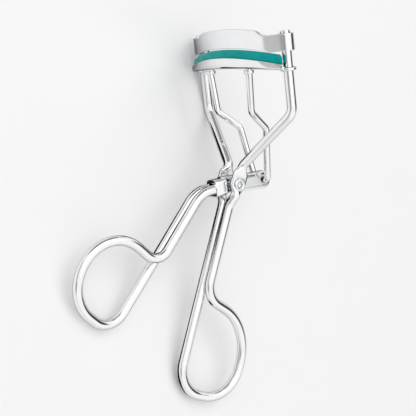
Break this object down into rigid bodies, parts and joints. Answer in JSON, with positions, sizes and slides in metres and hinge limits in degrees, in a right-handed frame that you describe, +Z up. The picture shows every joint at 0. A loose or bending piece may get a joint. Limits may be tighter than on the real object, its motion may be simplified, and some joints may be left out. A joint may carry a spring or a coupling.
{
  "type": "eyelash curler",
  "caption": "Scissor-grip eyelash curler of bent chromed wire, with a curved upper jaw, a sliding lower jaw with a soft teal pad, and a finger loop on each handle.",
  "frame": {"origin": "centre of the bounding box's bottom face, on the table the tool lies on", "axes": "+Z up from the table, across the jaws along the pivot; +Y along the posts, from the finger loops to the jaws; +X from the jaws' outward bulge to the push wire's side"},
  "size_m": [0.067, 0.1002, 0.0397],
  "materials": {
    "bright_chrome": "polished",
    "rivet_steel": "polished",
    "teal_silicone": "satin"
  },
  "bodies": {
    "frame": {"frame_wire": "bright_chrome", "upper_jaw": "bright_chrome", "pivot_rivet": "rivet_steel"},
    "lever": {"lever_plate": "bright_chrome", "handle_wire": "bright_chrome"},
    "sliding_jaw": {"lower_jaw": "bright_chrome", "jaw_pad": "teal_silicone"},
    "push_link": {"push_wire": "bright_chrome", "push_collar_left": "bright_chrome", "push_collar_right": "bright_chrome"}
  },
  "joints": [
    {"name": "lever_hinge", "type": "hinge", "parent": "frame", "child": "lever", "pos_m": [0.01979, 0.00807, 0.014], "axis": [-0.1489, -0.1355, 0.9795], "range_deg": [-32, 1]},
    {"name": "jaw_slide", "type": "slide", "parent": "frame", "child": "sliding_jaw", "axis": [0, 0.9906, 0.137], "range_m": [-0.00551, 0.00018]},
    {"name": "push_wire_swing", "type": "hinge", "parent": "sliding_jaw", "child": "push_link", "pos_m": [0.02345, 0.03909, 0.01884], "axis": [-0.1489, -0.1355, 0.9795], "range_deg": [-3.5, 0.2]}
  ],
  "couplings": [
    {"joint": "jaw_slide", "follows": "lever_hinge", "m_per_rad": 0.00986},
    {"joint": "push_wire_swing", "follows": "lever_hinge", "ratio": 0.108}
  ]
}
